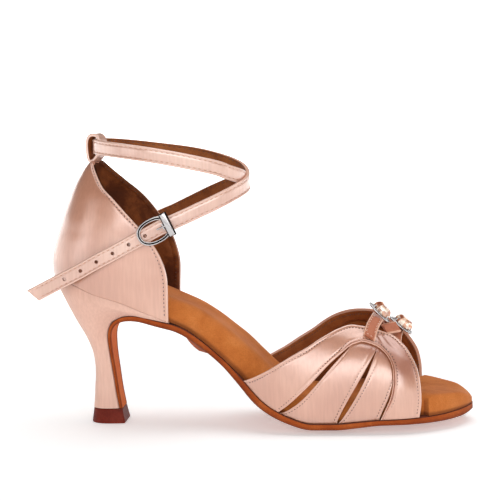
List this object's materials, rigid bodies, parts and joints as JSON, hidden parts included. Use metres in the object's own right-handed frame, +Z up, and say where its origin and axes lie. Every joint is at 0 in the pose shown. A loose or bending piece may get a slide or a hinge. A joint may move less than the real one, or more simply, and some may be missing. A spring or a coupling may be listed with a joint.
{
  "type": "ballroom dance shoe",
  "caption": "Right open-toed Latin dance sandal with a flared heel, closed heel cup, slit satin vamp bands, a crossed ankle strap with buckle and small stones.",
  "frame": {"origin": "middle of the heel tip's ground face, on the floor", "axes": "+X towards the toe, +Y towards the inner side of the foot, +Z up"},
  "size_m": [0.2339, 0.0809, 0.1577],
  "materials": {
    "satin": "pink satin with a soft sheen",
    "pale_satin": "paler, matter satin",
    "sole_suede": "brushed suede",
    "bed_suede": "smooth suede",
    "tip_rubber": "hard rubber",
    "silver": "polished",
    "crystal": "foiled back, cut facets"
  },
  "bodies": {
    "root": {"outsole": "sole_suede", "insole": "bed_suede", "heel": "pale_satin", "heel_tip": "tip_rubber", "counter": "satin", "back_loop": "satin", "vamp_outer": "satin", "vamp_inner": "satin", "bridge_strap_rear": "satin", "bridge_strap_front": "satin", "bridge_strap_tab": "satin", "crystal_ring_rear": "silver", "crystal_rear": "crystal", "crystal_ring_front": "silver", "crystal_front": "crystal", "ankle_strap": "satin", "buckle_frame": "silver", "buckle_bar": "silver", "buckle_prong": "silver"}
  },
  "joints": []
}
